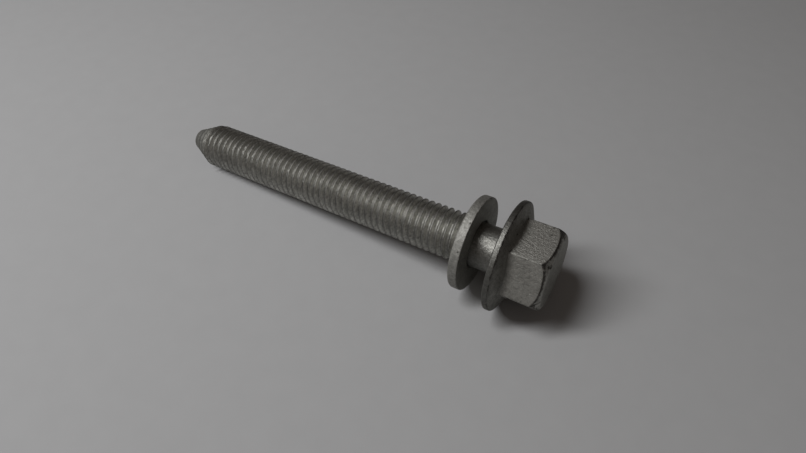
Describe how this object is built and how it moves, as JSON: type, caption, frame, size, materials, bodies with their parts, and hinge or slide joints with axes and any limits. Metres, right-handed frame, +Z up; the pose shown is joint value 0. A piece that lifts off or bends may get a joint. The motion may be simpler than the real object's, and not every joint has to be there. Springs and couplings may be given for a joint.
{
  "type": "hex flange bolt with captive washer",
  "caption": "Hexagon flange bolt with a long rolled thread, a tapered point and a loose captive washer that slides on the plain shank under the flange.",
  "frame": {"origin": "on the surface the bolt lies on, under the middle of its bounding box", "axes": "+X along the bolt towards the head, +Z up; the bolt's axis lies in the X-Z plane and rises 4.68 degrees towards the head, because it rests on the flange's rim and on the thread's last full turn"},
  "size_m": [0.1082, 0.0264, 0.0265],
  "materials": {
    "bolt_coating": "matt silver-grey zinc-flake coating",
    "washer_coating": "matt silver-grey zinc-flake coating, a little brighter than the bolt"
  },
  "bodies": {
    "bolt": {"flange_bolt": "bolt_coating"},
    "washer": {"captive_washer": "washer_coating"}
  },
  "joints": [
    {"name": "washer_slide", "type": "slide", "parent": "bolt", "child": "washer", "axis": [0.9967, 0, 0.0816], "range_m": [0, 0.00655]}
  ]
}
